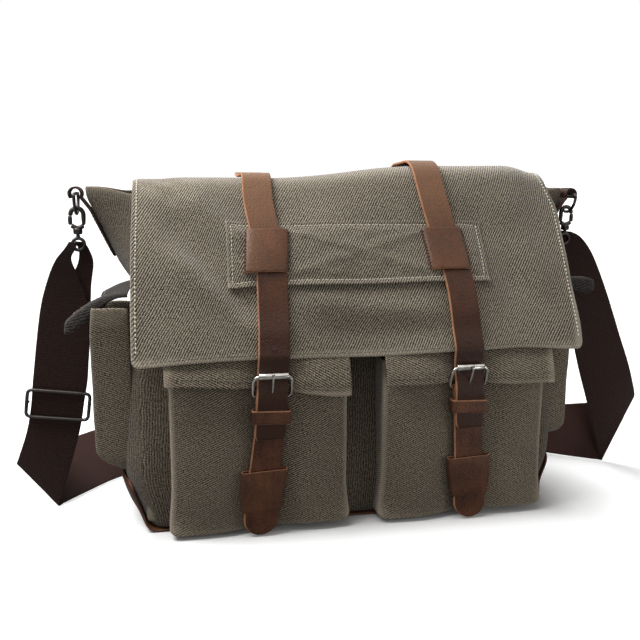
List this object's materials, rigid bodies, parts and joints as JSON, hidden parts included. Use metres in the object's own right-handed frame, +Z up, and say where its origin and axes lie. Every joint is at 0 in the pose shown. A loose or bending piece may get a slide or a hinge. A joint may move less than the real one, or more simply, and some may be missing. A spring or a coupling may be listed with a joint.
{
  "type": "messenger bag",
  "caption": "Canvas messenger bag with a buckled front flap, leather straps, cargo pockets and an adjustable shoulder strap.",
  "frame": {"origin": "on the floor under the centre of the bag's body", "axes": "+X to the right seen from the front, front faces -Y, +Z up"},
  "size_m": [0.6342, 0.203, 0.3077],
  "materials": {
    "canvas": "heavy twill canvas, washed grey-olive",
    "leather": "smooth waxed brown leather with raw edges",
    "webbing": "tight ribbed dark brown webbing",
    "lining": "plain cotton lining",
    "divider": "padded brushed lining cloth",
    "board": "matt stiffener board",
    "nickel": "polished nickel with light wear",
    "gunmetal": "dark gunmetal plating, satin"
  },
  "bodies": {
    "root": {"base_panel": "leather", "front_panel": "canvas", "back_panel": "canvas", "left_gusset": "canvas", "right_gusset": "canvas", "lining": "lining", "base_board": "board", "laptop_divider": "divider", "left_front_pocket": "canvas", "left_side_pocket": "canvas", "left_ring_tab": "leather", "left_snap_socket": "nickel", "right_front_pocket": "canvas", "right_side_pocket": "canvas", "right_ring_tab": "leather", "right_snap_socket": "nickel"},
    "flap_top": {"flap_top_panel": "canvas", "left_strap_top": "leather", "right_strap_top": "leather"},
    "flap_front": {"flap_front_panel": "canvas", "flap_band": "canvas", "left_billet": "leather", "left_flap_keeper": "leather", "left_chape": "leather", "left_strap_loop": "leather", "left_snap_sleeve": "leather", "left_buckle_frame": "nickel", "left_snap_stud": "nickel", "right_billet": "leather", "right_flap_keeper": "leather", "right_chape": "leather", "right_strap_loop": "leather", "right_snap_sleeve": "leather", "right_buckle_frame": "nickel", "right_snap_stud": "nickel"},
    "left_roller": {"left_buckle_roller": "nickel"},
    "left_prong": {"left_buckle_prong": "nickel"},
    "left_pocket_flap": {"left_pocket_flap": "canvas"},
    "left_side_flap": {"left_side_flap": "canvas"},
    "left_d_ring": {"left_d_ring": "gunmetal"},
    "left_hook": {"left_snap_hook": "gunmetal"},
    "left_gate": {"left_hook_gate": "gunmetal"},
    "right_roller": {"right_buckle_roller": "nickel"},
    "right_prong": {"right_buckle_prong": "nickel"},
    "right_pocket_flap": {"right_pocket_flap": "canvas"},
    "right_side_flap": {"right_side_flap": "canvas"},
    "right_d_ring": {"right_d_ring": "gunmetal"},
    "right_hook": {"right_snap_hook": "gunmetal"},
    "right_gate": {"right_hook_gate": "gunmetal"},
    "shoulder_strap": {"shoulder_webbing": "webbing", "left_swivel_eye": "gunmetal", "right_swivel_eye": "gunmetal"},
    "slider": {"strap_slider": "gunmetal"}
  },
  "joints": [
    {"name": "flap_hinge", "type": "hinge", "parent": "root", "child": "flap_top", "pos_m": [0, 0.061, 0.3035], "axis": [-1, 0, 0], "range_deg": [0, 175]},
    {"name": "flap_fold", "type": "hinge", "parent": "flap_top", "child": "flap_front", "pos_m": [0, -0.0207, 0.3079], "axis": [-1, 0, 0], "range_deg": [0, 116.5]},
    {"name": "left_pocket_hinge", "type": "hinge", "parent": "root", "child": "left_pocket_flap", "pos_m": [-0.0825, -0.0615, 0.176], "axis": [-1, 0, 0], "range_deg": [0, 88]},
    {"name": "left_side_flap_hinge", "type": "hinge", "parent": "root", "child": "left_side_flap", "pos_m": [-0.1905, 0, 0.203], "axis": [0, 1, 0], "range_deg": [0, 55]},
    {"name": "left_roller_spin", "type": "hinge", "parent": "flap_front", "child": "left_roller", "pos_m": [-0.07956, -0.1033, 0.1415], "axis": [1, 0, 0], "continuous": true},
    {"name": "left_prong_hinge", "type": "hinge", "parent": "flap_front", "child": "left_prong", "pos_m": [-0.08062, -0.0962, 0.1215], "axis": [1, 0, 0], "range_deg": [0, 60]},
    {"name": "left_ring_hinge", "type": "hinge", "parent": "root", "child": "left_d_ring", "pos_m": [-0.2335, 0.005, 0.2845], "axis": [0, 1, 0], "range_deg": [-5, 5]},
    {"name": "left_hook_swivel", "type": "hinge", "parent": "shoulder_strap", "child": "left_hook", "pos_m": [-0.2335, 0.005, 0.25], "axis": [0, 0, 1], "range_deg": [-12, 12]},
    {"name": "left_gate_hinge", "type": "hinge", "parent": "left_hook", "child": "left_gate", "pos_m": [-0.2395, 0.005, 0.2585], "axis": [0, 1, 0], "range_deg": [0, 22]},
    {"name": "right_pocket_hinge", "type": "hinge", "parent": "root", "child": "right_pocket_flap", "pos_m": [0.0925, -0.0615, 0.176], "axis": [-1, 0, 0], "range_deg": [0, 88]},
    {"name": "right_side_flap_hinge", "type": "hinge", "parent": "root", "child": "right_side_flap", "pos_m": [0.1905, 0, 0.203], "axis": [0, -1, 0], "range_deg": [0, 55]},
    {"name": "right_roller_spin", "type": "hinge", "parent": "flap_front", "child": "right_roller", "pos_m": [0.09356, -0.1033, 0.1415], "axis": [1, 0, 0], "continuous": true},
    {"name": "right_prong_hinge", "type": "hinge", "parent": "flap_front", "child": "right_prong", "pos_m": [0.09462, -0.0962, 0.1215], "axis": [1, 0, 0], "range_deg": [0, 60]},
    {"name": "right_ring_hinge", "type": "hinge", "parent": "root", "child": "right_d_ring", "pos_m": [0.2335, 0.005, 0.2845], "axis": [0, 1, 0], "range_deg": [-5, 5]},
    {"name": "right_hook_swivel", "type": "hinge", "parent": "shoulder_strap", "child": "right_hook", "pos_m": [0.2335, 0.005, 0.25], "axis": [0, 0, 1], "range_deg": [-12, 12]},
    {"name": "right_gate_hinge", "type": "hinge", "parent": "right_hook", "child": "right_gate", "pos_m": [0.2395, 0.005, 0.2585], "axis": [0, -1, 0], "range_deg": [0, 22]},
    {"name": "strap_swing", "type": "hinge", "parent": "root", "child": "shoulder_strap", "pos_m": [0, 0.005, 0.2845], "axis": [1, 0, 0], "range_deg": [0, 65]},
    {"name": "slider_slide", "type": "slide", "parent": "shoulder_strap", "child": "slider", "axis": [0.1322, 0, 0.9912], "range_m": [0, 0.035]}
  ],
  "couplings": [
    {"joint": "flap_fold", "follows": "flap_hinge", "ratio": 0.665},
    {"joint": "left_pocket_hinge", "follows": "flap_hinge", "ratio": 0.5},
    {"joint": "right_pocket_hinge", "follows": "flap_hinge", "ratio": 0.5}
  ]
}
